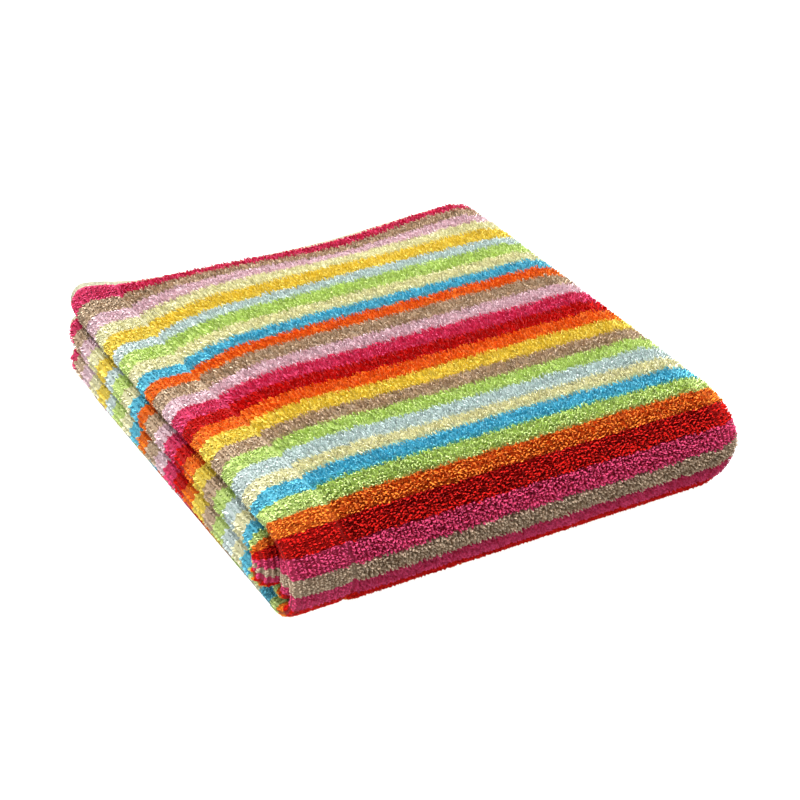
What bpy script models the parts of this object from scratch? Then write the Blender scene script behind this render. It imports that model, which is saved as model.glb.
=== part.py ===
# Folded hand towel, one cloth of thick terry.
# The cloth lies in four layers side to side, and that stack is folded in half over the front,
# so eight layers lie on each other. +X runs along the stripes to the right, +Y to the back.
# The section of the four layers is one line with its turns, swept back to front, round and back.
import math
from collections import namedtuple

import bpy

NAME = "towel"
COLLECTION = "folded_hand_towel"

# Cloth
THICKNESS = 0.006
LAYER_PITCH = 0.0075
LAYERS_IN_STACK = 4

# Stack before the last fold: places along X are measured from the towel's own middle stitch line
TOP_RUN_LEFT = -0.1285
RIGHT_TURN_X = 0.072
INNER_LEFT_TURN_X = -0.135
SECOND_HEM_X = -0.1305

# Last fold: the run from the back edges to the fold's axis
STRAIGHT_RUN = 0.1985

# Hem band of the top layer, which droops over the side of the pile
HEM_BAND = 0.0265
HEM_BEND_RADIUS = 0.006
GROOVE_HALF_WIDTH = 0.0022
GROOVE_FACTOR = 0.62
EDGE_FACTOR = 0.72

# Mesh steps
TOP_STEPS = (0.0, 0.025, 0.06, 0.11, 0.18, 0.32, 0.50, 0.68, 0.85, 1.0)
FOLD_STEPS = 11
BOTTOM_STEPS = 4
RUN_STATIONS = (-0.124, -0.1162, -0.1118, -0.105, -0.095, -0.082, -0.067, -0.050, -0.032,
                -0.013, 0.006, 0.024, 0.041, 0.057)

STACK_DEPTH = LAYERS_IN_STACK * LAYER_PITCH
FOLD_AXIS_HEIGHT = STACK_DEPTH
OUTER_TURN = 1.5 * LAYER_PITCH
INNER_TURN = 0.5 * LAYER_PITCH
TOP_LAYER_DEPTH = 3.5 * LAYER_PITCH

# One row for each stretch of the section, in the order of the cloth from the first hem.
# A run has a length, a turn has a radius and degrees, clockwise seen from the front.
# The cloth is squeezed a little where it turns tightly.
Stretch = namedtuple("Stretch", "name length radius degrees steps squeeze")
SECTION = (
    Stretch("top layer", RIGHT_TURN_X - TOP_RUN_LEFT, 0.0, 0.0, 0, 1.0),
    Stretch("outer right turn", 0.0, OUTER_TURN, 180.0, 9, 1.0),
    Stretch("fourth layer", RIGHT_TURN_X - INNER_LEFT_TURN_X, 0.0, 0.0, 0, 1.0),
    Stretch("left turn", 0.0, INNER_TURN, 180.0, 6, 0.86),
    Stretch("third layer", RIGHT_TURN_X - INNER_LEFT_TURN_X, 0.0, 0.0, 0, 1.0),
    Stretch("inner right turn", 0.0, INNER_TURN, -180.0, 6, 0.86),
    Stretch("second layer", RIGHT_TURN_X - SECOND_HEM_X, 0.0, 0.0, 0, 1.0),
)

# How the cloth changes along the way round the last fold. way counts 0 at the back of the top,
# 1 at the start of the front fold, 2 at its end. The first hem droops over the side and hangs by
# its free length. The outer layer, the second hem and the right turns drift sideways.
WayRow = namedtuple("WayRow", "way droop_degrees free_length outer_drift second_drift right_drift")
WAY_ROWS = (
    WayRow(0.00, 80.0, 0.0120, 0.0000, 0.0000, 0.0005),
    WayRow(0.88, 78.0, 0.0120, 0.0000, 0.0000, 0.0005),
    WayRow(1.00, 55.0, 0.0122, 0.0005, 0.0010, 0.0015),
    WayRow(1.09, 14.0, 0.0125, 0.0018, 0.0005, 0.0028),
    WayRow(1.20, 8.0, 0.0128, 0.0030, -0.0015, 0.0040),
    WayRow(1.35, 6.0, 0.0130, 0.0055, -0.0045, 0.0065),
    WayRow(1.50, 4.0, 0.0135, 0.0070, -0.0055, 0.0085),
    WayRow(1.65, 0.0, 0.0130, 0.0075, -0.0040, 0.0075),
    WayRow(2.00, 0.0, 0.0120, 0.0080, 0.0000, 0.0030),
    WayRow(3.00, 0.0, 0.0120, 0.0080, 0.0000, 0.0010),
)
HEM_STEPS = 6
OUTER_LAYER_DEPTH = 3.0 * LAYER_PITCH
SECOND_LAYER_DEPTH = 2.0 * LAYER_PITCH
DRIFT_RIGHT_START = 0.030

# Soft unevenness of the pile, full at the top and nothing where it rests.
Swell = namedtuple("Swell", "name x y spread_x spread_y height")
SWELLS = (
    Swell("valley along the hem", -0.123, -0.081, 0.025, 0.122, -0.0083),
    Swell("sagging back edge", 0.003, -0.016, 0.042, 0.016, -0.0046),
    Swell("long dip at the back", -0.042, -0.004, 0.089, 0.019, -0.0045),
    Swell("lifted hem corner", -0.128, 0.0045, 0.022, 0.016, 0.0060),
    Swell("filled hem at the front", -0.109, -0.157, 0.034, 0.049, 0.0036),
    Swell("low right front", 0.085, -0.200, 0.056, 0.016, -0.0020),
)
SWELL_GROWTH = 1.5
PRESSED_CLEARANCE = 0.0005
SLOPE_STEP = 0.001

# The side folds draw in a little towards the open back, which rounds the two back corners.
CORNER_CENTRE_X = -0.030
CORNER_PULL = 0.010
CORNER_REACH = 0.008

SidePoint = namedtuple("SidePoint", "x depth along squeeze")


def clear_scene():
    for obj in list(bpy.data.objects):
        bpy.data.objects.remove(obj, do_unlink=True)


def make_collection():
    collection = bpy.data.collections.new(COLLECTION)
    bpy.context.scene.collection.children.link(collection)
    return collection


def row_at(way):
    """The row for a place on the way round, blended between the two rows beside it."""
    for low, high in zip(WAY_ROWS, WAY_ROWS[1:]):
        if way <= high.way:
            part = (way - low.way) / (high.way - low.way)
            return WayRow(*(a + (b - a) * part for a, b in zip(low, high)))
    return WAY_ROWS[-1]


def hem_points(row):
    """The free hem, from its end to the bend, as the cloth's first points."""
    droop = math.radians(row.droop_degrees)
    free = row.free_length
    points = []
    for step in range(HEM_STEPS):
        back = free * (1.0 - step / HEM_STEPS)
        arc = min(back, droop * HEM_BEND_RADIUS)
        angle = arc / HEM_BEND_RADIUS
        straight = back - arc
        x = TOP_RUN_LEFT - HEM_BEND_RADIUS * math.sin(angle) - straight * math.cos(angle)
        depth = TOP_LAYER_DEPTH - HEM_BEND_RADIUS * (1.0 - math.cos(angle)) - straight * math.sin(angle)
        if droop == 0.0:
            x, depth = TOP_RUN_LEFT - back, TOP_LAYER_DEPTH
        points.append(SidePoint(x, depth, -back, 1.0))
    return points


def run_places(stretch, start, heading):
    """Lengths along a run to its stations, which all the layers share, and to its end.

    Shared stations keep the gap between two layers even where the swells bend them.
    """
    stations = list(RUN_STATIONS)
    if stretch is SECTION[0]:
        stations.append(TOP_RUN_LEFT + HEM_BAND - WAY_ROWS[0].free_length)
    places = sorted(heading * (station - start) for station in stations)
    return [place for place in places if 0.0 < place < stretch.length] + [stretch.length]


def drift(point, row):
    """Moves a point of the section sideways by the row's drifts."""
    right = max(0.0, min(1.0, (point.x - DRIFT_RIGHT_START) / (RIGHT_TURN_X - DRIFT_RIGHT_START)))
    right = right * right * (3.0 - 2.0 * right)
    left = max(0.0, min(1.0, (RIGHT_TURN_X - point.x) / (RIGHT_TURN_X - TOP_RUN_LEFT)))
    if point.depth > OUTER_LAYER_DEPTH or point.along < 0.0:
        move = row.outer_drift * left + row.right_drift * (1.0 - left)
    elif point.depth > SECOND_LAYER_DEPTH:
        move = row.second_drift * left * left + row.right_drift * right
    else:
        move = row.right_drift * right
    return point._replace(x=point.x + move)


def section_points(way):
    """The whole section as a list of points, for one place on the way round."""
    row = row_at(way)
    points = hem_points(row)
    x, depth, along = TOP_RUN_LEFT, TOP_LAYER_DEPTH, 0.0
    heading = 1.0
    points.append(SidePoint(x, depth, along, 1.0))
    for stretch in SECTION:
        if stretch.length:
            for place in run_places(stretch, x, heading):
                points.append(SidePoint(x + heading * place, depth, along + place, stretch.squeeze))
            x += heading * stretch.length
            along += stretch.length
            continue
        down = -1.0 if heading * stretch.degrees > 0.0 else 1.0
        for step in range(1, stretch.steps + 1):
            angle = math.pi * step / stretch.steps
            points.append(SidePoint(x + heading * stretch.radius * math.sin(angle),
                                    depth + down * stretch.radius * (1.0 - math.cos(angle)),
                                    along + stretch.radius * angle, stretch.squeeze))
        depth += down * 2.0 * stretch.radius
        along += stretch.radius * math.pi
        heading = -heading
    return [drift(point, row) for point in points]


def way_steps():
    """Places on the way round: the top, the front fold, then the underside."""
    places = list(TOP_STEPS)
    places += [1.0 + step / FOLD_STEPS for step in range(1, FOLD_STEPS + 1)]
    places += [2.0 + step / BOTTOM_STEPS for step in range(1, BOTTOM_STEPS + 1)]
    return places


def place_on_way(point, way):
    """A section point swept to its place: straight, round the fold's axis, straight back."""
    if way <= 1.0:
        return point.x, -STRAIGHT_RUN * way, FOLD_AXIS_HEIGHT + point.depth
    if way >= 2.0:
        return point.x, -STRAIGHT_RUN * (3.0 - way), FOLD_AXIS_HEIGHT - point.depth
    angle = math.pi * (way - 1.0)
    y = -STRAIGHT_RUN - point.depth * math.sin(angle)
    return point.x, y, FOLD_AXIS_HEIGHT + point.depth * math.cos(angle)


def swell_height(x, y):
    """Sum of the swells over a place of the top."""
    height = 0.0
    for swell in SWELLS:
        reach = ((x - swell.x) / swell.spread_x) ** 2 + ((y - swell.y) / swell.spread_y) ** 2
        height += swell.height * math.exp(-reach)
    return height


def level_of(z):
    """0 where the pile rests and 1 at its top."""
    return max(0.0, z - THICKNESS) / (2.0 * STACK_DEPTH - THICKNESS)


def settle(x, y, z):
    """Adds the pile's unevenness, which grows from the underside to the top."""
    rise = swell_height(x, y) * level_of(z) ** SWELL_GROWTH
    pull = CORNER_PULL * math.exp(-(y / CORNER_REACH) ** 2)
    return x - (x - CORNER_CENTRE_X) * pull, y, z + rise


def pressed_factor(x, y, z):
    """Thinner where the swells press the layers closer than the cloth is thick, or tilt them."""
    level = level_of(z)
    height = swell_height(x, y)
    press = SWELL_GROWTH * level ** (SWELL_GROWTH - 1.0) / (2.0 * STACK_DEPTH - THICKNESS)
    room = LAYER_PITCH * (1.0 + height * press) - PRESSED_CLEARANCE
    across = (swell_height(x + SLOPE_STEP, y) - height) / SLOPE_STEP
    back = (swell_height(x, y + SLOPE_STEP) - height) / SLOPE_STEP
    slope = math.hypot(across, back) * level ** SWELL_GROWTH
    return min(1.0, room / (THICKNESS * math.hypot(1.0, slope)))


def thickness_factor(index, count, row, rows, along, total):
    """Thinner at the cloth's edges and pinched along the stitch line of each hem."""
    if index in (0, count - 1) or row in (0, rows - 1):
        return EDGE_FACTOR
    from_hem = min(along + WAY_ROWS[0].free_length, total - along)
    if abs(from_hem - HEM_BAND) < 0.5 * GROOVE_HALF_WIDTH:
        return GROOVE_FACTOR
    return 1.0


def build_cloth(collection):
    places = way_steps()
    rows = [section_points(way) for way in places]
    count = len(rows[0])
    total = rows[0][-1].along
    vertices = []
    factors = []
    for row, (way, points) in enumerate(zip(places, rows)):
        for index, point in enumerate(points):
            place = place_on_way(point, way)
            vertices.append(settle(*place))
            factor = thickness_factor(index, count, row, len(rows), point.along, total)
            factors.append(min(factor, point.squeeze, pressed_factor(*place)))
    faces = []
    for row in range(len(rows) - 1):
        for index in range(count - 1):
            first = row * count + index
            faces.append((first, first + count, first + count + 1, first + 1))
    mesh = bpy.data.meshes.new(NAME)
    mesh.from_pydata(vertices, [], faces)
    mesh.shade_smooth()
    cloth = bpy.data.objects.new(NAME, mesh)
    collection.objects.link(cloth)
    group = cloth.vertex_groups.new(name="thickness")
    for vertex, factor in enumerate(factors):
        group.add([vertex], factor, "REPLACE")
    solidify = cloth.modifiers.new("Cloth thickness", "SOLIDIFY")
    solidify.thickness = THICKNESS
    solidify.offset = 0.0
    solidify.use_even_offset = True
    solidify.vertex_group = group.name
    return cloth


def terry_material():
    material = bpy.data.materials.new("striped_terry")
    material.use_nodes = True
    shader = material.node_tree.nodes["Principled BSDF"]
    shader.inputs["Base Color"].default_value = (0.62, 0.33, 0.16, 1.0)
    shader.inputs["Roughness"].default_value = 0.95
    shader.inputs["Metallic"].default_value = 0.0
    return material


def stand_on_origin(cloth):
    """Moves the cloth so that the middle of its underside is at the origin."""
    bpy.context.view_layer.update()
    solid = cloth.evaluated_get(bpy.context.evaluated_depsgraph_get())
    corners = [vertex.co for vertex in solid.data.vertices]
    for axis in range(2):
        values = [corner[axis] for corner in corners]
        cloth.location[axis] = -0.5 * (min(values) + max(values))
    cloth.location[2] = -min(corner[2] for corner in corners)


def main():
    clear_scene()
    collection = make_collection()
    cloth = build_cloth(collection)
    cloth.data.materials.append(terry_material())
    stand_on_origin(cloth)


main()
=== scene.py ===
import math
from collections import namedtuple

import bpy
import numpy as np
from mathutils import Matrix, Vector


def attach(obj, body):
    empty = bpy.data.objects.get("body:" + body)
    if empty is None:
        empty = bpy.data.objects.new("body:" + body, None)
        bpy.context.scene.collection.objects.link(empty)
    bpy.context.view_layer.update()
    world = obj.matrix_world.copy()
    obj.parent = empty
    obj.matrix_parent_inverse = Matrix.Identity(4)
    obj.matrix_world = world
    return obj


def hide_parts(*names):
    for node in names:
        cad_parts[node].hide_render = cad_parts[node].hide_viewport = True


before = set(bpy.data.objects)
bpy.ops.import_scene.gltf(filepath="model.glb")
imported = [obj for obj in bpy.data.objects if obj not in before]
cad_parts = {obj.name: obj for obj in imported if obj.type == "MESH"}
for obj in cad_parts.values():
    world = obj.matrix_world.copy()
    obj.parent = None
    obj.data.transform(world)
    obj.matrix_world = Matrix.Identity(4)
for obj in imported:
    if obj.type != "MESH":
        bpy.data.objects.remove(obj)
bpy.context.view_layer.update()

print("towel: frame loaded")

# Folded hand towel of striped terry. +X runs along the stripes, +Y to the open back edges.
# The cloth is one sheet in its folds, and its loops are small yarn ribbons that stand on it.

towelFold = {
    "cadThickness": 0.006,
    "layerPitch": 0.0075,
    "straightRun": 0.1985,   # back edge to the axis of the front fold
    "topRunLeft": -0.1285,   # where the hem band starts to bend over the side
    "rightTurnX": 0.072,
    "leftTurnX": -0.135,
    "secondHemX": -0.1305,
    "hemBendRadius": 0.006,
    "hemBand": 0.0265,       # hem end to stitch line
    "driftStart": 0.030,     # right of this the layers drift with the right turns
    "swellGrowth": 1.5,      # above 1 the lower layers follow the swells less
    "cornerX": -0.030,       # the back edges draw in towards this line,
    "cornerPull": 0.010,     # by this share of their distance from it,
    "cornerReach": 0.008,    # and over this length
    "lobeFullness": 0.72,    # below 1 the left folds are boxier than a half round
    "lobeGather": 0.25,      # how far their points gather at both ends, where they bend most
    "origin": (0.02357, 0.11343, -0.00075),   # from the fold's own places to the model's
}
topDepth = 3.5 * towelFold["layerPitch"]   # the top layer's distance from the front fold's axis
slack = 1e-9                               # for rounding

# Along the way round the front fold: 0 at the back of the top, 1 to 2 round the fold, 3 under the back.
# How many degrees the hem droops, its free length, and how far the outer layer, the second hem and
# the right turns drift sideways.
WayRow = namedtuple("WayRow", "way droop free outer second right")
wayRows = (
    WayRow(0.00, 80.0, 0.0120, -0.0032, 0.0000, 0.0005),
    WayRow(0.12, 80.0, 0.0120, 0.0000, 0.0000, 0.0005),
    WayRow(0.88, 78.0, 0.0120, 0.0000, 0.0000, 0.0005),
    WayRow(1.00, 55.0, 0.0122, 0.0005, 0.0010, 0.0015),
    WayRow(1.09, 14.0, 0.0125, 0.0018, 0.0005, 0.0028),
    WayRow(1.20, 8.0, 0.0128, 0.0030, -0.0015, 0.0040),
    WayRow(1.35, 6.0, 0.0130, 0.0055, -0.0045, 0.0065),
    WayRow(1.50, 4.0, 0.0135, 0.0070, -0.0055, 0.0085),
    WayRow(1.65, 0.0, 0.0130, 0.0075, -0.0040, 0.0075),
    WayRow(2.00, 0.0, 0.0120, 0.0080, 0.0000, 0.0030),
    WayRow(3.00, 0.0, 0.0120, 0.0080, 0.0000, 0.0010),
)

Swell = namedtuple("Swell", "x y spreadX spreadY height")
swells = (
    Swell(-0.123, -0.081, 0.025, 0.122, -0.0083),    # valley along the hem
    Swell(0.003, -0.016, 0.042, 0.016, -0.0046),     # sagging back edge
    Swell(-0.042, -0.004, 0.089, 0.019, -0.0045),    # long dip at the back
    Swell(-0.128, 0.0045, 0.022, 0.016, 0.0060),     # lifted hem corner
    Swell(-0.131, 0.001, 0.030, 0.014, 0.0052),      # raised back corner
    Swell(-0.109, -0.157, 0.034, 0.049, 0.0036),     # filled hem at the front
    Swell(0.085, -0.200, 0.056, 0.016, -0.0020),     # low right front
)


def smoothed(share):
    return share * share * (3.0 - 2.0 * share)


def rowAt(way):
    ways = [row.way for row in wayRows]
    return WayRow(*(float(np.interp(way, ways, column)) for column in zip(*wayRows)))


def sectionStretches():
    # Stretches of the section from the hem's bend: run lengths, or turn radius with its way up or down
    fold = towelFold
    outer = 1.5 * fold["layerPitch"]
    inner = 0.5 * fold["layerPitch"]
    full = fold["rightTurnX"] - fold["leftTurnX"]
    return (
        ("run", fold["rightTurnX"] - fold["topRunLeft"], 0),
        ("wideTurn", outer, -1),
        ("run", full, 0),
        ("turn", inner, 1),
        ("run", full, 0),
        ("turn", inner, 1),
        ("run", fold["rightTurnX"] - fold["secondHemX"], 0),
    )


def stretchEnds():
    ends = [0.0]
    for kind, size, _ in sectionStretches():
        ends.append(ends[-1] + (size if kind == "run" else math.pi * size))
    return ends


def sectionPoint(along):
    # Place across the towel and depth in the stack of four layers, for a length from the bend
    fold = towelFold
    x, depth, heading, start = fold["topRunLeft"], topDepth, 1.0, 0.0
    for kind, size, rise in sectionStretches():
        length = size if kind == "run" else math.pi * size
        here = min(along - start, length)
        if kind == "run":
            point = (x + heading * here, depth)
            x += heading * size
        else:
            turned = here / size
            onLeft = heading < 0.0
            angle = turned - fold["lobeGather"] * math.sin(2.0 * turned) * onLeft
            bulge = math.sin(min(angle, math.pi - slack)) ** (fold["lobeFullness"] if onLeft else 1.0)
            point = (x + heading * size * bulge, depth + rise * size * (1.0 - math.cos(angle)))
            depth += 2.0 * rise * size
            heading = -heading
        start += length
        if along <= start + slack:
            break
    return point


def hemPoint(share, row):
    # Place on the free hem, share 0 at the bend and 1 at the hem's end
    droop = math.radians(row.droop)
    radius = towelFold["hemBendRadius"]
    back = row.free * share
    angle = min(back / radius, droop)
    straight = back - angle * radius
    x = towelFold["topRunLeft"] - radius * math.sin(angle) - straight * math.cos(angle)
    drop = radius * (1.0 - math.cos(angle))
    return x, topDepth - drop - straight * math.sin(angle)


def driftOf(x, depth, row):
    # Sideways move of a section point, by the layer that it is on
    pitch = towelFold["layerPitch"]
    end, start = towelFold["rightTurnX"], towelFold["driftStart"]
    right = smoothed(min(max((x - start) / (end - start), 0.0), 1.0))
    left = min(max((end - x) / (end - towelFold["topRunLeft"]), 0.0), 1.0)
    if depth > 3.0 * pitch:
        return row.outer * left + row.right * (1.0 - left)
    if depth > 2.0 * pitch:
        return row.second * left * left + row.right * right
    return row.right * right


def settle(places):
    # The pile's unevenness, which grows from the underside to the top
    x, y, z = places[..., 0], places[..., 1], places[..., 2]
    thick = towelFold["cadThickness"]
    level = np.clip(z - thick, 0.0, None) / (8.0 * towelFold["layerPitch"] - thick)
    rise = np.zeros_like(z)
    for swell in swells:
        reach = ((x - swell.x) / swell.spreadX) ** 2 + ((y - swell.y) / swell.spreadY) ** 2
        rise += swell.height * level ** towelFold["swellGrowth"] * np.exp(-reach)
    pull = towelFold["cornerPull"] * np.exp(-(y / towelFold["cornerReach"]) ** 2)
    return np.stack([x - (x - towelFold["cornerX"]) * pull, y, z + rise], -1)


clothGrid = {
    "step": 0.0040,          # along the straight runs
    "turnSteps": {"turn": 14, "wideTurn": 22},
    "foldSteps": 40,
    "straightSteps": 46,
    "hemEndSteps": (0.0, 0.0002, 0.0007, 0.0014, 0.0023, 0.0036),   # close where a hem's end is round
    "hemEndClear": 0.0040,   # the even steps keep this far from the second hem's end
    "freeHemStart": 0.0052,  # and the first hem's even steps start this far from its end
    "freeHemSteps": 8,
    "selvedgeWays": (0.0, 0.0010, 0.0035, 0.0075, 0.0125, 0.0175, 0.024),   # close at the back edges
    "selvedgeWaysEnd": 0.036,
    "grooveSteps": (-1.5, -1.0, -0.5, 0.0, 0.5, 1.0, 1.5),   # in halves of a groove's width
    "grooveClear": 1.7,      # no other steps this near, in the same measure
    "halfThickness": 0.0022,
    "selvedgeHalf": 0.0010,
    "selvedgeFlat": 0.0012,  # width at the edge that is all selvedge
    "selvedgeWidth": 0.0040,    # and over which it thickens
    "tipShare": 0.35,        # of the thickness, at the very edge
    "tipWidth": 0.0008,
    "hemHalf": 0.0023,
    "hemTipSquare": 0.012,   # square of the share of the thickness at a hem's very end
    "grooveDip": 0.0011,
    "grooveHalf": 0.0014,
}


def alongStations():
    # Lengths along the cloth from the hem's bend: close at both hem ends, turns and the stitch lines
    cloth = clothGrid
    ends = stretchEnds()
    free, total = wayRows[0].free, ends[-1]
    stations = [-free + step for step in cloth["hemEndSteps"]]
    stations += list(np.linspace(-free + cloth["freeHemStart"], 0.0, cloth["freeHemSteps"]))
    for (kind, _, _), low, high in zip(sectionStretches(), ends, ends[1:]):
        count = cloth["turnSteps"].get(kind) or round((high - low) / cloth["step"])
        stations += list(np.linspace(low, high, count + 1)[1:])
    grooves = (towelFold["hemBand"] - free, total - towelFold["hemBand"])
    for groove in grooves:
        clear = cloth["grooveClear"] * cloth["grooveHalf"]
        stations = [station for station in stations if abs(station - groove) > clear]
        stations += [groove + step * cloth["grooveHalf"] for step in cloth["grooveSteps"]]
    stations = [station for station in stations if station < total - cloth["hemEndClear"]]
    stations += [total - step for step in cloth["hemEndSteps"]]
    return sorted(stations), grooves


def wayStations():
    edge = list(clothGrid["selvedgeWays"])
    rest = clothGrid["straightSteps"] - len(edge)
    straight = edge + list(np.linspace(clothGrid["selvedgeWaysEnd"], 1.0, rest))
    fold = list(np.linspace(1.0, 2.0, clothGrid["foldSteps"] + 1)[1:-1])
    return straight + fold + [3.0 - way for way in reversed(straight)]


def acrossOf(way):
    # Width of cloth from its back edge, measured on the outermost layer
    run = towelFold["straightRun"]
    bend = math.pi * 4.0 * towelFold["layerPitch"]
    return run * min(way, 1.0) + bend * min(max(way - 1.0, 0.0), 1.0) + run * max(way - 2.0, 0.0)


def sweepCloth():
    # Middle surface of the cloth as a grid of rows along the way and columns along the cloth
    alongs, grooves = alongStations()
    ways = wayStations()
    free = wayRows[0].free
    fixed = {along: sectionPoint(along) for along in alongs if along >= 0.0}
    grid = np.zeros((len(ways), len(alongs), 3))
    axisZ = 4.0 * towelFold["layerPitch"]
    run = towelFold["straightRun"]
    for index, way in enumerate(ways):
        angle = math.pi * min(max(way - 1.0, 0.0), 1.0)
        back = run * (min(way, 1.0) - max(way - 2.0, 0.0))
        row = rowAt(way)
        for column, along in enumerate(alongs):
            if along >= 0.0:
                x, depth = fixed[along]
                x += driftOf(x, depth, row)
            else:
                x, depth = hemPoint(-along / free, row)
                x += row.outer
            z = axisZ + depth * math.cos(angle)
            grid[index, column] = (x, -back - depth * math.sin(angle), z)
    return settle(grid) + towelFold["origin"], np.array(alongs), np.array(ways), grooves


def gridNormals(grid):
    # They point up on the top layer, and stay on that face of the cloth all the way
    down = np.gradient(grid, axis=0)
    over = np.gradient(grid, axis=1)
    normal = np.cross(down, over)
    return normal / np.linalg.norm(normal, axis=-1, keepdims=True)


def halfThickness(alongs, ways, grooves):
    # Half the thickness of the ground: round hem ends, pinched stitch lines, thin selvedges
    cloth = clothGrid
    fromEnd = np.minimum(alongs - alongs[0], alongs[-1] - alongs)
    body = np.where(fromEnd < towelFold["hemBand"], cloth["hemHalf"], cloth["halfThickness"])
    rounded = np.clip(fromEnd / cloth["hemHalf"], 0.0, 1.0)
    column = body * np.sqrt(np.clip(1.0 - (1.0 - rounded) ** 2, cloth["hemTipSquare"], 1.0))
    for groove in grooves:
        column -= cloth["grooveDip"] * np.exp(-((alongs - groove) / cloth["grooveHalf"]) ** 2)
    across = np.array([acrossOf(way) for way in ways])
    fromEdge = np.minimum(across, across[-1] - across)
    ease = smoothed(np.clip((fromEdge - cloth["selvedgeFlat"]) / cloth["selvedgeWidth"], 0.0, 1.0))
    tip = np.clip(cloth["tipShare"] + fromEdge / cloth["tipWidth"], cloth["tipShare"], 1.0)
    row = (cloth["selvedgeHalf"] + (cloth["halfThickness"] - cloth["selvedgeHalf"]) * ease) * tip
    return column[None, :] * (row / cloth["halfThickness"])[:, None], across


print("towel: folding the cloth")
middle, alongs, ways, grooves = sweepCloth()
normals = gridNormals(middle)
half, across = halfThickness(alongs, ways, grooves)
sideOf = {"outer": 1.0, "inner": -1.0}


def patchFaces(rows, columns, first, flipped):
    index = first + np.arange(rows * columns).reshape(rows, columns)
    quads = np.stack([index[:-1, :-1], index[1:, :-1], index[1:, 1:], index[:-1, 1:]], -1)
    quads = quads.reshape(-1, 4)
    return quads[:, ::-1] if flipped else quads


def meshFrom(name, vertices, faces):
    mesh = bpy.data.meshes.new(name)
    mesh.vertices.add(len(vertices))
    mesh.vertices.foreach_set("co", np.asarray(vertices, np.float32).ravel())
    mesh.loops.add(faces.size)
    mesh.loops.foreach_set("vertex_index", faces.astype(np.int32).ravel())
    mesh.polygons.add(len(faces))
    starts = np.arange(0, faces.size, faces.shape[1], dtype=np.int32)
    mesh.polygons.foreach_set("loop_start", starts)
    mesh.update(calc_edges=True)
    mesh.shade_smooth()
    return mesh


def pointVectors(mesh, name, values):
    layer = mesh.attributes.new(name, "FLOAT_VECTOR", "POINT")
    layer.data.foreach_set("vector", np.asarray(values, np.float32).ravel())


def pointNumbers(mesh, name, values):
    layer = mesh.attributes.new(name, "FLOAT", "POINT")
    layer.data.foreach_set("value", np.asarray(values, np.float32))


def addObject(name, mesh):
    piece = bpy.data.objects.new(name, mesh)
    bpy.context.scene.collection.objects.link(piece)
    return piece


class Value:
    # A number that flows between nodes, so that finishes can be written as sums
    def __init__(self, sheet, socket):
        self.sheet = sheet
        self.socket = socket

    def maths(self, operation, other):
        return self.sheet.value("ShaderNodeMath", {"operation": operation}, {0: self, 1: other})

    def swapped(self, operation, other):
        return self.sheet.value("ShaderNodeMath", {"operation": operation}, {0: other, 1: self})

    def __add__(self, other):
        return self.maths("ADD", other)

    def __sub__(self, other):
        return self.maths("SUBTRACT", other)

    def __mul__(self, other):
        return self.maths("MULTIPLY", other)

    def __truediv__(self, other):
        return self.maths("DIVIDE", other)

    def __rsub__(self, other):
        return self.swapped("SUBTRACT", other)

    __radd__ = __add__
    __rmul__ = __mul__


class NodeSheet:
    # A material's or a geometry tree's nodes
    def __init__(self, tree):
        self.tree = tree

    def add(self, kind, settings=None, inputs=None):
        node = self.tree.nodes.new(kind)
        for name, value in (settings or {}).items():
            if name == "stops":
                self.setStops(node.color_ramp, value)
            else:
                setattr(node, name, value)
        for key, value in (inputs or {}).items():
            socket = node.inputs[key]
            if isinstance(value, Value):
                value = value.socket
            if isinstance(value, bpy.types.NodeSocket):
                self.tree.links.new(value, socket)
            else:
                socket.default_value = value
        return node

    def value(self, kind, settings=None, inputs=None, output=0):
        return Value(self, self.add(kind, settings, inputs).outputs[output])

    def setStops(self, ramp, stops):
        ramp.interpolation = "CONSTANT"
        while len(ramp.elements) > 1:
            ramp.elements.remove(ramp.elements[-1])
        for index, (position, color) in enumerate(stops):
            stop = ramp.elements[0] if index == 0 else ramp.elements.new(position)
            stop.position = position
            stop.color = color


def linear(red, green, blue):
    # Screen colours, 0 to 255, as the light that a shader works with
    values = [channel / 255.0 for channel in (red, green, blue)]
    return tuple(v / 12.92 if v <= 0.04045 else ((v + 0.055) / 1.055) ** 2.4 for v in values) + (1.0,)


def grey(level):
    return (level, level, level, 1.0)


Yarn = namedtuple("Yarn", "color mixing")   # how strongly it is heathered light and dark, and how strong the painted shade at its loops' roots is
yarns = {
    "paleYellow": Yarn(linear(235, 232, 198), grey(0.4)),
    "magenta": Yarn(linear(221, 78, 124), grey(0.2)),
    "taupe": Yarn(linear(214, 192, 166), grey(1.0)),
    "pink": Yarn(linear(230, 206, 212), grey(0.4)),
    "yellow": Yarn(linear(235, 216, 105), grey(0.2)),
    "lightBlue": Yarn(linear(217, 228, 226), grey(0.45)),
    "green": Yarn(linear(211, 228, 152), grey(0.5)),
    "blue": Yarn(linear(121, 205, 224), grey(0.4)),
    "orange": Yarn(linear(235, 134, 42), grey(0.2)),
    "red": Yarn(linear(208, 22, 14), grey(0.2)),
}

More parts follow.
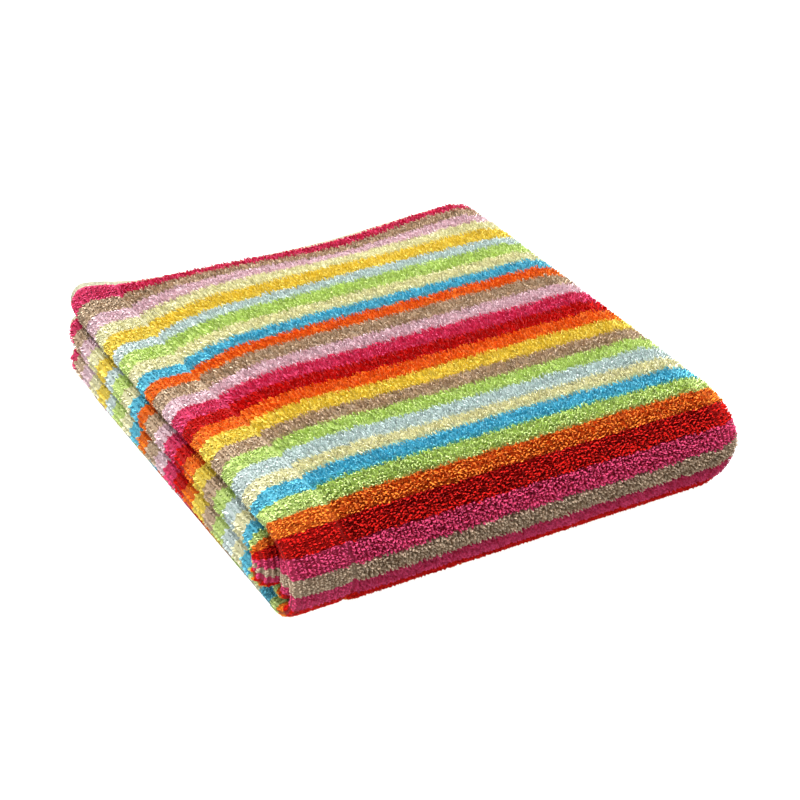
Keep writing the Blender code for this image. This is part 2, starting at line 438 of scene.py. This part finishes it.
Stripe = namedtuple("Stripe", "yarn width")   # millimetres, from the selvedge to the middle stripe
stripes = (
    Stripe("paleYellow", 2.0), Stripe("magenta", 8.3), Stripe("taupe", 8.2), Stripe("pink", 10.0),
    Stripe("paleYellow", 9.3), Stripe("yellow", 10.7), Stripe("lightBlue", 7.8), Stripe("green", 11.1),
    Stripe("paleYellow", 9.1), Stripe("blue", 9.1), Stripe("orange", 8.7), Stripe("taupe", 10.3),
    Stripe("pink", 10.3), Stripe("magenta", 10.1), Stripe("red", 10.0), Stripe("orange", 9.8),
    Stripe("yellow", 10.9), Stripe("taupe", 9.3), Stripe("green", 9.6), Stripe("lightBlue", 9.9),
    Stripe("paleYellow", 8.0), Stripe("blue", 10.1), Stripe("green", 10.1), Stripe("orange", 8.4),
    Stripe("red", 10.7), Stripe("magenta", 10.3), Stripe("taupe", 5.5),
)

terryFinish = {
    "middleShift": 0.0013,   # how far the middle stripe lies from the cloth's own middle
    "waver": 0.0016,         # how far a stripe's edge strays, slow
    "waverScale": 45.0,
    "straggle": 0.0016,      # and from loop to loop
    "straggleScale": 620.0,
    "heather": 0.60,         # how far mixed yarn goes lighter and darker
    "grainScale": 1500.0,
    "grainMiddle": 0.52,
    "grainContrast": 2.2,
    "patchiness": 0.16,      # broad light and dark over the towel
    "patchScale": 110.0,
    "darkest": 0.12,
    "groundShade": 0.46,     # painted shade on the ground between the loops
    "bareShade": 0.31,       # painted shade on the selvedges, which have no loops to shade them and so take fuller light
    "rootShade": 0.50,       # painted shade at the roots of loops in fully mixed yarn, less so in plainer yarn
    "rootDepth": 0.50,       # how far a root's colour is its own square, as light that met yarn twice
    "roughness": 0.95,
    "gloss": 0.08,
    "sheen": 0.05,
    "sheenRoughness": 0.5,
    "knotScale": 900.0,
    "knotStrength": 0.9,
    "knotHeight": 0.0006,
}


def stripeStops(feature):
    total = sum(stripe.width for stripe in stripes)
    reached, stops = 0.0, []
    for stripe in stripes:
        stops.append((reached / total, getattr(yarns[stripe.yarn], feature)))
        reached += stripe.width
    return stops


def terryMaterial(name, loops):
    material = bpy.data.materials.new(name)
    material.use_nodes = True
    material.node_tree.nodes.clear()
    sheet = NodeSheet(material.node_tree)
    finish = terryFinish
    place = sheet.add("ShaderNodeAttribute", {"attribute_name": "clothPlace"}).outputs["Vector"]

    def noise(scale, detail):
        return sheet.value("ShaderNodeTexNoise", {}, {
            "Vector": place, "Scale": scale, "Detail": detail,
        })

    def share(name):
        return sheet.value("ShaderNodeAttribute", {"attribute_name": name}, {}, "Fac")

    def colorMath(operation, color, other):
        second = "Scale" if operation == "SCALE" else 1
        node = sheet.add("ShaderNodeVectorMath", {"operation": operation}, {0: color, second: other})
        return node.outputs["Vector"]

    width = sheet.value("ShaderNodeSeparateXYZ", {}, {0: place}, "Y")
    slow, quick = noise(finish["waverScale"], 1.0), noise(finish["straggleScale"], 2.0)
    moved = width + (slow - 0.5) * finish["waver"] + (quick - 0.5) * finish["straggle"]
    total = float(across[-1])
    near, far = 0.5 * total + finish["middleShift"], 0.5 * total - finish["middleShift"]
    spot = (moved / near).maths("MINIMUM", (total - moved) / far)
    color = sheet.add("ShaderNodeValToRGB", {"stops": stripeStops("color")}, {0: spot}).outputs["Color"]
    mixing = sheet.value("ShaderNodeValToRGB", {"stops": stripeStops("mixing")}, {0: spot})
    grain = (noise(finish["grainScale"], 1.0) - finish["grainMiddle"]) * finish["grainContrast"]
    patchy = (noise(finish["patchScale"], 3.0) - 0.5) * finish["patchiness"]
    shade = 1.0 + grain * finish["heather"] * mixing + patchy
    if loops:
        # painted shade: each loop is darker towards its root, more so in heathered yarn
        low = 1.0 - share("loopUp").maths("MINIMUM", 1.0)
        shade = shade * (1.0 - (1.0 - finish["rootShade"]) * mixing * low)
        depth = finish["rootDepth"] * low
    else:
        # painted shade: the ground between the loops is darker, and the bare selvedges darker still
        bare = share("bareCloth")
        shade = shade * (finish["groundShade"] + (finish["bareShade"] - finish["groundShade"]) * bare)
        depth = finish["rootDepth"] * (1.0 - bare)
    shade = shade.maths("MAXIMUM", finish["darkest"])
    # painted bounce shade: by depth, part of the colour is its own square, deeper and more saturated,
    # at loop roots and on the ground
    plain = colorMath("SCALE", color, shade * (1.0 - depth))
    deep = colorMath("SCALE", colorMath("MULTIPLY", color, color), shade * depth)
    shader = sheet.add("ShaderNodeBsdfPrincipled", {}, {
        "Base Color": colorMath("ADD", plain, deep),
        "Roughness": finish["roughness"],
        "Specular IOR Level": finish["gloss"],
        "Sheen Weight": finish["sheen"],
        "Sheen Roughness": finish["sheenRoughness"],
    })
    if not loops:
        knots = sheet.add("ShaderNodeTexVoronoi", {}, {"Vector": place, "Scale": finish["knotScale"]})
        bump = sheet.add("ShaderNodeBump", {}, {
            "Height": knots.outputs["Distance"], "Strength": finish["knotStrength"],
            "Distance": finish["knotHeight"],
        })
        sheet.tree.links.new(bump.outputs["Normal"], shader.inputs["Normal"])
    sheet.add("ShaderNodeOutputMaterial", {}, {"Surface": shader.outputs["BSDF"]})
    return material


clothMap = {
    "innerShift": 0.05,      # gives the inner face its own noise
    "bareWidth": 0.0042,     # selvedge without loops
    "bareBlend": 0.0016,
    "margin": 0.005,
    "alongSpan": 0.99,
    "acrossSpan": 0.485,     # of each face, one above the other
}


def buildCloth(material):
    # Both faces of the ground and the four rims that join them, with a map that keeps them apart
    rows, columns = middle.shape[:2]
    outer = middle + normals * half[..., None]
    inner = middle - normals * half[..., None]
    count = rows * columns
    index = np.arange(count).reshape(rows, columns)
    rim = np.concatenate([index[0, :], index[1:, -1], index[-1, -2::-1], index[-2:0:-1, 0]])
    after = np.roll(rim, -1)
    faces = np.concatenate([
        patchFaces(rows, columns, 0, False),
        patchFaces(rows, columns, count, True),
        np.stack([rim, after, after + count, rim + count], -1),
    ])
    mesh = meshFrom("towelCloth", np.concatenate([outer.reshape(-1, 3), inner.reshape(-1, 3)]), faces)
    alongGrid, acrossGrid = np.meshgrid(alongs, across)
    place = np.stack([alongGrid, acrossGrid, np.zeros_like(alongGrid)], -1).reshape(-1, 3)
    innerPlace = place + (0.0, 0.0, clothMap["innerShift"])
    pointVectors(mesh, "clothPlace", np.concatenate([place, innerPlace]))
    edge = np.minimum(acrossGrid, across[-1] - acrossGrid)
    bare = np.clip((clothMap["bareWidth"] - edge) / clothMap["bareBlend"], 0.0, 1.0).ravel()
    pointNumbers(mesh, "bareCloth", np.concatenate([bare, bare]))
    lengthShare = (alongGrid - alongs[0]) / (alongs[-1] - alongs[0])
    spot = np.stack([
        clothMap["margin"] + clothMap["alongSpan"] * lengthShare,
        clothMap["margin"] + clothMap["acrossSpan"] * (acrossGrid / across[-1]),
    ], -1).reshape(-1, 2)
    spots = np.concatenate([spot, spot + (0.0, 0.5)])
    uv = mesh.uv_layers.new(name="OFBake")
    uv.data.foreach_set("uv", spots[faces.ravel()].astype(np.float32).ravel())
    mesh.materials.append(material)
    return addObject("towelCloth", mesh)


LoopShape = namedtuple("LoopShape", "bend twist steps")   # sideways bend, twist in radians, pieces

pileLoops = {
    "shapes": (LoopShape(0.35, 0.8, 4), LoopShape(-0.45, -0.7, 4), LoopShape(0.7, 0.4, 4)),
    "height": 0.0027,
    "spread": 0.0013,
    "yarnWidth": 0.00058,
    "sizeRange": (0.8, 1.2),
    "pickSpacing": 0.0017,   # between rows of loops, along the stripes
    "endSpacing": 0.0007,    # between the loops of a row
    "jitter": 0.00028,
    "leanAside": 0.58,       # radians, to the left
    "leanAlong": -0.10,      # and away from the front
    "leanSpread": 0.20,
    "clumping": 0.75,        # how much neighbours lean together
    "clumpScale": 170.0,
    "spin": 0.85,
    "tilt": 0.5,             # of the yarn's flat side, at the loop's start
    "frontLean": 0.25,       # share of the lean past the top layer, and where the cloth faces down
    "leanFacing": (-0.2, 0.5),    # how far up it faces, from where that share ends to the full lean
    "foldHeight": 0.62,      # share of the height past the top layer, as in the side folds
    "hemHeight": 0.50,
    "hemEndHeight": 0.55,    # share of that at the very end
    "hemEndReach": 0.005,
    "grooveFlatness": 0.85,
    "bareWidth": 0.0022,     # selvedge without loops
    "bareBlend": 0.003,
    "heightFacing": (-1.0, -0.9, -0.5, -0.1),   # how far up the cloth faces, from straight down,
    "facingHeight": (1.0, 0.6, 0.6, 1.0),       # and the share of the height there
    "floorGap": 0.0005,
    "floorRoom": 1.2,        # room that a loop needs over the floor, in its heights
    "leastDown": 0.05,       # the least that the cloth faces down, where that room counts
    "shortest": 0.05,        # share of the height under which no loop is made
    "root": 0.0004,          # how deep a loop starts under the ground's face
}

pileReach = {
    "rightOver": 0.006,      # how far the loops go past a turn,
    "leftOver": 0.008,
    "firstHemInside": 0.005,    # and on the hems' hidden faces
    "secondHemInside": 0.004,
    "narrow": 0.006,         # a strip narrower than this has its rows closer together
    "narrowSpacing": 0.5,
    "openEdge": 0.030,       # way into the gaps between the open back edges
}

loopMap = {
    "alongMargin": 0.01,
    "alongSpan": 0.98,
    "acrossMargin": 0.02,    # shares of a patch's own strip
    "acrossSpan": 0.96,
}

Patch = namedtuple("Patch", "side alongLow alongHigh wayLow wayHigh")


def patchTable():
    # What each mesh of loops covers. Lengths run from the hem's bend, ways from the back of the top.
    ends = stretchEnds()
    reach = pileReach
    hemEnd, total = -wayRows[0].free, ends[-1]
    right, rightEnd = ends[1], ends[2] + reach["rightOver"]
    left, leftEnd = ends[3] - reach["leftOver"], ends[4] + reach["leftOver"]
    secondHem, strip = total - reach["secondHemInside"], reach["openEdge"]
    table = {
        "topPile%d" % (third + 1): [Patch("outer", hemEnd, right, third / 3, (third + 1) / 3)]
        for third in range(3)
    }
    table["frontPile"] = [Patch("outer", hemEnd, right, 1.0, 2.0)]
    table["rightPile"] = [Patch("outer", right, rightEnd, 0.0, 3.0)]
    table["leftPile"] = [Patch("outer", left, leftEnd, 0.0, 3.0)]
    table["hemEndPile"] = [
        Patch("inner", hemEnd, hemEnd + reach["firstHemInside"], 0.0, 3.0),
        Patch("outer", secondHem, total, 0.0, 3.0),
        Patch("inner", secondHem, total, 0.0, 3.0),
    ]
    table["backPile"] = [
        Patch(side, low, high, wayLow, wayLow + strip)
        for side, low, high in (("outer", rightEnd, total), ("inner", hemEnd, total))
        for wayLow in (0.0, 3.0 - strip)
    ]
    table["underPile"] = [Patch("outer", hemEnd, right, 2.0, 3.0)]
    return table


def between(values, rowSpots, columnSpots):
    # Values of the cloth's grid, read between its own rows and columns
    rows = np.clip(rowSpots.astype(int), 0, values.shape[0] - 2)
    columns = np.clip(columnSpots.astype(int), 0, values.shape[1] - 2)
    down = (rowSpots - rows)[:, None, None]
    over = (columnSpots - columns)[None, :, None]
    near = values[rows][:, columns] * (1.0 - over) + values[rows][:, columns + 1] * over
    far = values[rows + 1][:, columns] * (1.0 - over) + values[rows + 1][:, columns + 1] * over
    return near * (1.0 - down) + far * down


def spotsFrom(low, high, spacing):
    count = max(round((high - low) / spacing), 1)
    return low + (np.arange(count) + 0.5) * (high - low) / count


def loopHeights(alongGrid, acrossGrid, ground, upward):
    # Share of a loop's full height: short on hems, flat at stitch lines and selvedges, and low enough
    # to clear the floor
    pile = pileLoops
    fromEnd = np.minimum(alongGrid - alongs[0], alongs[-1] - alongGrid)
    fromEdge = np.minimum(acrossGrid, across[-1] - acrossGrid)
    height = np.where(fromEnd < towelFold["hemBand"], pile["hemHeight"], 1.0)
    height = height * np.interp(fromEnd, (0.0, pile["hemEndReach"]), (pile["hemEndHeight"], 1.0))
    for groove in grooves:
        near = np.exp(-((alongGrid - groove) / clothGrid["grooveHalf"]) ** 2)
        height = height * (1.0 - pile["grooveFlatness"] * near)
    height = height * np.clip((fromEdge - pile["bareWidth"]) / pile["bareBlend"], 0.0, 1.0)
    height = height * np.interp(upward, pile["heightFacing"], pile["facingHeight"])
    room = (ground[..., 2] - pile["floorGap"]) / (pile["floorRoom"] * pile["height"])
    below = np.minimum(height, room / np.maximum(-upward, pile["leastDown"]))
    return np.where(upward < 0.0, below, height)


middleDown, middleOver = np.gradient(middle, axis=0), np.gradient(middle, axis=1)


def loopPlaces(patch, sparsity, number, patchCount):
    # Where a patch's loops stand, in rows like a weaver's picks, with what each loop has to know
    low, high = acrossOf(patch.wayLow), acrossOf(patch.wayHigh)
    narrow = patch.alongHigh - patch.alongLow < pileReach["narrow"]
    pick = pileLoops["pickSpacing"] * sparsity * (pileReach["narrowSpacing"] if narrow else 1.0)
    alongSpots = spotsFrom(patch.alongLow, patch.alongHigh, pick)
    acrossSpots = spotsFrom(low, high, pileLoops["endSpacing"] * sparsity)
    rowSpots = np.interp(acrossSpots, across, np.arange(len(across)))
    columnSpots = np.interp(alongSpots, alongs, np.arange(len(alongs)))
    side = sideOf[patch.side]
    normal = between(normals, rowSpots, columnSpots) * side
    raised = np.maximum(between(half[..., None], rowSpots, columnSpots) - pileLoops["root"], 0.0)
    ground = between(middle, rowSpots, columnSpots) + normal * raised
    over = between(middleOver, rowSpots, columnSpots)
    over /= np.linalg.norm(over, axis=-1, keepdims=True)
    alongGrid, acrossGrid = np.meshgrid(alongSpots, acrossSpots)
    # round a hem's end the loops turn outwards with its surface
    fromStart, fromLast = alongGrid - alongs[0], alongs[-1] - alongGrid
    toEnd = np.clip(np.minimum(fromStart, fromLast) / clothGrid["hemHalf"], 0.0, 1.0)
    outward = 1.0 - toEnd[..., None]
    endWay = np.where(fromStart < fromLast, -1.0, 1.0)[..., None] * over
    upright = normal * np.sqrt(1.0 - outward ** 2) + endWay * outward
    tall = loopHeights(alongGrid, acrossGrid, ground, upright[..., 2])
    lean = np.interp(upright[..., 2], pileLoops["leanFacing"], (pileLoops["frontLean"], 1.0))
    if patch.alongLow >= stretchEnds()[1]:
        lean = np.full(tall.shape, pileLoops["frontLean"])
        tall = tall * pileLoops["foldHeight"]
    # each patch has its own strip of the map, and each loop its own spot there
    share = 1.0 / patchCount
    alongSpan, acrossSpan = patch.alongHigh - patch.alongLow, high - low
    u = loopMap["alongMargin"] + loopMap["alongSpan"] * ((alongGrid - patch.alongLow) / alongSpan)
    v = number + loopMap["acrossMargin"] + loopMap["acrossSpan"] * ((acrossGrid - low) / acrossSpan)
    flat = np.zeros_like(u)
    spot = np.stack([u, share * v, flat], -1)
    cell = (loopMap["alongSpan"] / alongSpan, loopMap["acrossSpan"] * share / acrossSpan, 0.0)
    shift = clothMap["innerShift"] * (side < 0.0)
    places = {
        "at": ground,
        "clothPlace": np.stack([alongGrid, acrossGrid, flat + shift], -1),
        "upright": upright,
        "towards": between(middleDown, rowSpots, columnSpots),
        "bakeSpot": spot,
        "bakeCell": np.broadcast_to(cell, spot.shape),
        "tall": tall,
        "lean": lean,
    }
    stands = tall > pileLoops["shortest"]
    return {key: values[stands] for key, values in places.items()}


def buildCarrier(name, patches, sparsity):
    # The places of a mesh's loops as bare points
    kept = [loopPlaces(patch, sparsity, number, len(patches)) for number, patch in enumerate(patches)]
    joined = {key: np.concatenate([places[key] for places in kept]) for key in kept[0]}
    points = joined.pop("at")
    mesh = bpy.data.meshes.new(name)
    mesh.vertices.add(len(points))
    mesh.vertices.foreach_set("co", points.astype(np.float32).ravel())
    for key, values in joined.items():
        if values.ndim == 1:
            pointNumbers(mesh, key, values)
        else:
            pointVectors(mesh, key, values)
    return addObject(name, mesh)


def yarnLoop(sheet, tall, spread, width, shape):
    # One loop of pile: a flat yarn that arches over, with its own twist
    def point(x, y, z):
        return sheet.add("ShaderNodeCombineXYZ", {}, {"X": x, "Y": y, "Z": z}).outputs[0]

    arch = sheet.add("GeometryNodeCurveQuadraticBezier", {}, {
        "Resolution": shape.steps,
        "Start": point(spread * -0.5, 0.0, 0.0),
        "Middle": point(spread * shape.bend, 0.0, tall * 2.0),
        "End": point(spread * 0.5, 0.0, 0.0),
    })
    factor = sheet.value("GeometryNodeSplineParameter", {}, {}, "Factor")
    turned = sheet.add("GeometryNodeSetCurveTilt", {}, {
        "Curve": arch.outputs["Curve"], "Tilt": pileLoops["tilt"] + factor * shape.twist,
    })
    flat = sheet.add("GeometryNodeCurvePrimitiveLine", {}, {
        "Start": point(0.0, width * -0.5, 0.0), "End": point(0.0, width * 0.5, 0.0),
    })
    yarn = sheet.add("GeometryNodeCurveToMesh", {}, {
        "Curve": turned.outputs["Curve"], "Profile Curve": flat.outputs["Curve"],
    })
    at = sheet.add("GeometryNodeInputPosition").outputs[0]
    up = sheet.value("ShaderNodeSeparateXYZ", {}, {0: at}, "Z") / tall
    loop = yarn.outputs["Mesh"]
    for name, kind, value in (("loopUp", "FLOAT", up), ("loopAt", "FLOAT_VECTOR", at)):
        stored = sheet.add("GeometryNodeStoreNamedAttribute", {"data_type": kind, "domain": "POINT"}, {
            "Geometry": loop, "Name": name, "Value": value,
        })
        loop = stored.outputs["Geometry"]
    return loop


loopInputs = {
    "height": "Loop height",
    "spread": "Loop spread",
    "yarnWidth": "Yarn width",
    "jitter": "Jitter",
    "leanAside": "Lean aside",
    "leanAlong": "Lean along",
    "leanSpread": "Lean spread",
    "clumping": "Clumping",
    "spin": "Spin",
}


def pileTree(material):
    tree = bpy.data.node_groups.new("terryPile", "GeometryNodeTree")
    sheet = NodeSheet(tree)

    def socket(name, kind, way="INPUT"):
        return tree.interface.new_socket(name=name, in_out=way, socket_type="NodeSocket" + kind)

    socket("Geometry", "Geometry")
    for key, name in loopInputs.items():
        socket(name, "Float").default_value = pileLoops[key]
    socket("Seed", "Int").default_value = 7
    socket("Geometry", "Geometry", "OUTPUT")
    inputs = sheet.add("NodeGroupInput").outputs
    given = {key: Value(sheet, inputs[name]) for key, name in loopInputs.items()}
    seed = Value(sheet, inputs["Seed"])

    def chance(low, high, offset):
        return sheet.value("FunctionNodeRandomValue", {"data_type": "FLOAT"}, {
            2: low, 3: high, "Seed": seed + offset,
        }, 1)

    def named(name, kind="FLOAT_VECTOR"):
        node = sheet.add("GeometryNodeInputNamedAttribute", {"data_type": kind}, {"Name": name})
        return node.outputs[0]

    def turnedBy(rotation, angles):
        turn = sheet.add("FunctionNodeEulerToRotation", {}, {
            0: sheet.add("ShaderNodeCombineXYZ", {}, angles).outputs[0],
        })
        return sheet.add("FunctionNodeRotateRotation", {"rotation_space": "LOCAL"}, {
            "Rotation": rotation, "Rotate By": turn.outputs[0],
        }).outputs[0]

    tall, lean = Value(sheet, named("tall", "FLOAT")), Value(sheet, named("lean", "FLOAT"))
    stray = sheet.add("ShaderNodeCombineXYZ", {}, {
        "X": given["jitter"] * chance(-1.0, 1.0, 8), "Y": given["jitter"] * chance(-1.0, 1.0, 9),
    })
    places = sheet.add("GeometryNodeSetPosition", {}, {
        "Geometry": inputs["Geometry"], "Offset": stray.outputs[0],
    })
    shapes = sheet.add("GeometryNodeGeometryToInstance")
    for shape in pileLoops["shapes"]:
        loop = yarnLoop(sheet, given["height"], given["spread"], given["yarnWidth"], shape)
        tree.links.new(loop, shapes.inputs[0])
    upright = sheet.add("FunctionNodeAlignRotationToVector", {"axis": "Z"}, {
        "Vector": named("upright"),
    })
    facing = sheet.add("FunctionNodeAlignRotationToVector", {"axis": "X", "pivot_axis": "Z"}, {
        "Rotation": upright.outputs[0], "Vector": named("towards"),
    })
    clumps = sheet.add("ShaderNodeTexNoise", {}, {
        "Vector": named("clothPlace"), "Scale": pileLoops["clumpScale"], "Detail": 1.0,
    })
    sway = sheet.add("ShaderNodeSeparateXYZ", {}, {0: clumps.outputs["Color"]}).outputs
    swayAside, swayAlong = Value(sheet, sway["X"]) - 0.5, Value(sheet, sway["Y"]) - 0.5
    aside = given["leanAside"] * lean + given["leanSpread"] * chance(-1.0, 1.0, 11)
    along = given["leanAlong"] * lean + given["leanSpread"] * chance(-1.0, 1.0, 12)
    leaning = turnedBy(facing.outputs[0], {
        "X": aside + given["clumping"] * swayAside, "Y": along + given["clumping"] * swayAlong,
    })
    spun = turnedBy(leaning, {"Z": 0.5 * math.pi + given["spin"] * chance(-1.0, 1.0, 13)})
    girth, rise = chance(*pileLoops["sizeRange"], 14), chance(*pileLoops["sizeRange"], 15) * tall
    size = sheet.add("ShaderNodeCombineXYZ", {}, {"X": girth, "Y": girth, "Z": rise})
    pick = sheet.add("FunctionNodeRandomValue", {"data_type": "INT"}, {
        4: 0, 5: len(pileLoops["shapes"]) - 1, "Seed": seed + 16,
    })
    placed = sheet.add("GeometryNodeInstanceOnPoints", {}, {
        "Points": places.outputs[0], "Instance": shapes.outputs[0], "Pick Instance": True,
        "Instance Index": pick.outputs[2], "Rotation": spun, "Scale": size.outputs[0],
    })
    real = sheet.add("GeometryNodeRealizeInstances", {}, {"Geometry": placed.outputs[0]})
    moved = sheet.add("ShaderNodeVectorMath", {"operation": "MULTIPLY_ADD"}, {
        0: named("loopAt"), 1: named("bakeCell"), 2: named("bakeSpot"),
    })
    mapped = sheet.add("GeometryNodeStoreNamedAttribute", {"data_type": "FLOAT2", "domain": "CORNER"}, {
        "Geometry": real.outputs[0], "Name": "OFBake", "Value": moved.outputs[0],
    })
    kept = mapped.outputs[0]
    for name in ("bakeSpot", "bakeCell", "loopAt", "tall", "towards", "upright", "lean"):
        kept = sheet.add("GeometryNodeRemoveAttribute", {}, {"Geometry": kept, "Name": name}).outputs[0]
    smooth = sheet.add("GeometryNodeSetShadeSmooth", {}, {"Geometry": kept})
    finished = sheet.add("GeometryNodeSetMaterial", {}, {
        "Geometry": smooth.outputs[0], "Material": material,
    })
    sheet.add("NodeGroupOutput", {}, {0: finished.outputs[0]})
    return tree


def socketNamed(tree, name):
    return next(item.identifier for item in tree.interface.items_tree
                if item.item_type == "SOCKET" and item.in_out == "INPUT" and item.name == name)


def growPile(name, patches, tree, seed, sparsity):
    carrier = buildCarrier(name + "Ground", patches, sparsity)
    modifier = carrier.modifiers.new("Terry pile", "NODES")
    modifier.node_group = tree
    modifier[socketNamed(tree, "Seed")] = seed
    shown = carrier.evaluated_get(bpy.context.evaluated_depsgraph_get())
    mesh = bpy.data.meshes.new_from_object(shown)
    mesh.name = name
    piece = addObject(name, mesh)
    bpy.data.objects.remove(carrier, do_unlink=True)
    triangles = sum(len(face.vertices) - 2 for face in mesh.polygons)
    print("towel:", name, "has", triangles, "triangles")
    return piece


groundMaterial = terryMaterial("terryGround", False)
loopMaterial = terryMaterial("terryLoops", True)
cloth = buildCloth(groundMaterial)
print("towel: ground has", 2 * len(cloth.data.polygons), "triangles")

loopTree = pileTree(loopMaterial)
sparsities = {"underPile": 1.8, "rightPile": 1.25, "backPile": 1.3}   # away from the photo's view
firstSeed = 20
piles = [
    growPile(name, patches, loopTree, firstSeed + number, sparsities.get(name, 1.0))
    for number, (name, patches) in enumerate(patchTable().items())
]


stage = {
    "floorSize": 6.0,
    "floorColor": grey(0.25),
    "floorRoughness": 0.8,
    "floorGlow": 1.0,        # the floor's own light hides the pile's shadow, as in the photo
    "glowColor": grey(1.0),
    "worldColor": grey(1.0),
    "worldStrength": 0.12,
}

Lamp = namedtuple("Lamp", "name place target size power")
lamps = (
    Lamp("overheadSoft", (-0.15, 0.6, 1.6), (0.0, 0.0, 0.0), 2.8, 187.0),
    Lamp("leftSoft", (-1.6, -0.3, 1.0), (0.0, 0.0, 0.02), 1.2, 7.0),
)

cameraFit = {
    "azimuth": 30.6,
    "elevation": 31.4,
    "roll": 1.39,
    "distance": 1.0075,
    "target": (0.02357, 0.03513, -0.00075),
    "focalPixels": 2052.9,
    "imagePixels": 800.0,
    "sensorWidth": 36.0,
    "nearest": 0.05,
}


def buildStage():
    halfSide = 0.5 * stage["floorSize"]
    corners = [(-halfSide, -halfSide, 0.0), (halfSide, -halfSide, 0.0),
               (halfSide, halfSide, 0.0), (-halfSide, halfSide, 0.0)]
    floor = addObject("floor", meshFrom("floor", corners, np.array([[0, 1, 2, 3]])))
    paper = bpy.data.materials.new("paleFloor")
    paper.use_nodes = True
    shader = paper.node_tree.nodes["Principled BSDF"]
    shader.inputs["Base Color"].default_value = stage["floorColor"]
    shader.inputs["Roughness"].default_value = stage["floorRoughness"]
    shader.inputs["Emission Color"].default_value = stage["glowColor"]
    shader.inputs["Emission Strength"].default_value = stage["floorGlow"]
    floor.data.materials.append(paper)
    world = bpy.data.worlds.new("softWorld")
    world.use_nodes = True
    background = world.node_tree.nodes["Background"]
    background.inputs["Color"].default_value = stage["worldColor"]
    background.inputs["Strength"].default_value = stage["worldStrength"]
    bpy.context.scene.world = world
    for lamp in lamps:
        light = bpy.data.lights.new(lamp.name, "AREA")
        light.size = lamp.size
        light.energy = lamp.power
        holder = bpy.data.objects.new(lamp.name, light)
        holder.location = lamp.place
        aim = Vector(lamp.target) - Vector(lamp.place)
        holder.rotation_euler = aim.to_track_quat("-Z", "Y").to_euler()
        bpy.context.scene.collection.objects.link(holder)


def placeCamera():
    azimuth, elevation = math.radians(cameraFit["azimuth"]), math.radians(cameraFit["elevation"])
    roll, level = math.radians(cameraFit["roll"]), math.cos(elevation)
    forward = Vector((math.sin(azimuth) * level, math.cos(azimuth) * level, -math.sin(elevation)))
    right = Vector((math.cos(azimuth), -math.sin(azimuth), 0.0))
    upward = right.cross(forward)
    turnedRight = right * math.cos(roll) + upward * math.sin(roll)
    turnedUp = upward * math.cos(roll) - right * math.sin(roll)
    data = bpy.data.cameras.new("photoCamera")
    data.sensor_width = cameraFit["sensorWidth"]
    data.lens = cameraFit["sensorWidth"] * cameraFit["focalPixels"] / cameraFit["imagePixels"]
    data.clip_start = cameraFit["nearest"]
    camera = bpy.data.objects.new("photoCamera", data)
    turn = Matrix((turnedRight, turnedUp, -forward)).transposed().to_4x4()
    turn.translation = Vector(cameraFit["target"]) - forward * cameraFit["distance"]
    camera.matrix_world = turn
    bpy.context.scene.collection.objects.link(camera)
    bpy.context.scene.camera = camera


print("towel: stage and camera")
buildStage()
placeCamera()
bpy.context.scene.view_settings.view_transform = "Standard"

for piece in [cloth] + piles:
    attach(piece, "root")
    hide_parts("towel")
flatSize = (float(across[-1]), float(alongs[-1] - alongs[0]))
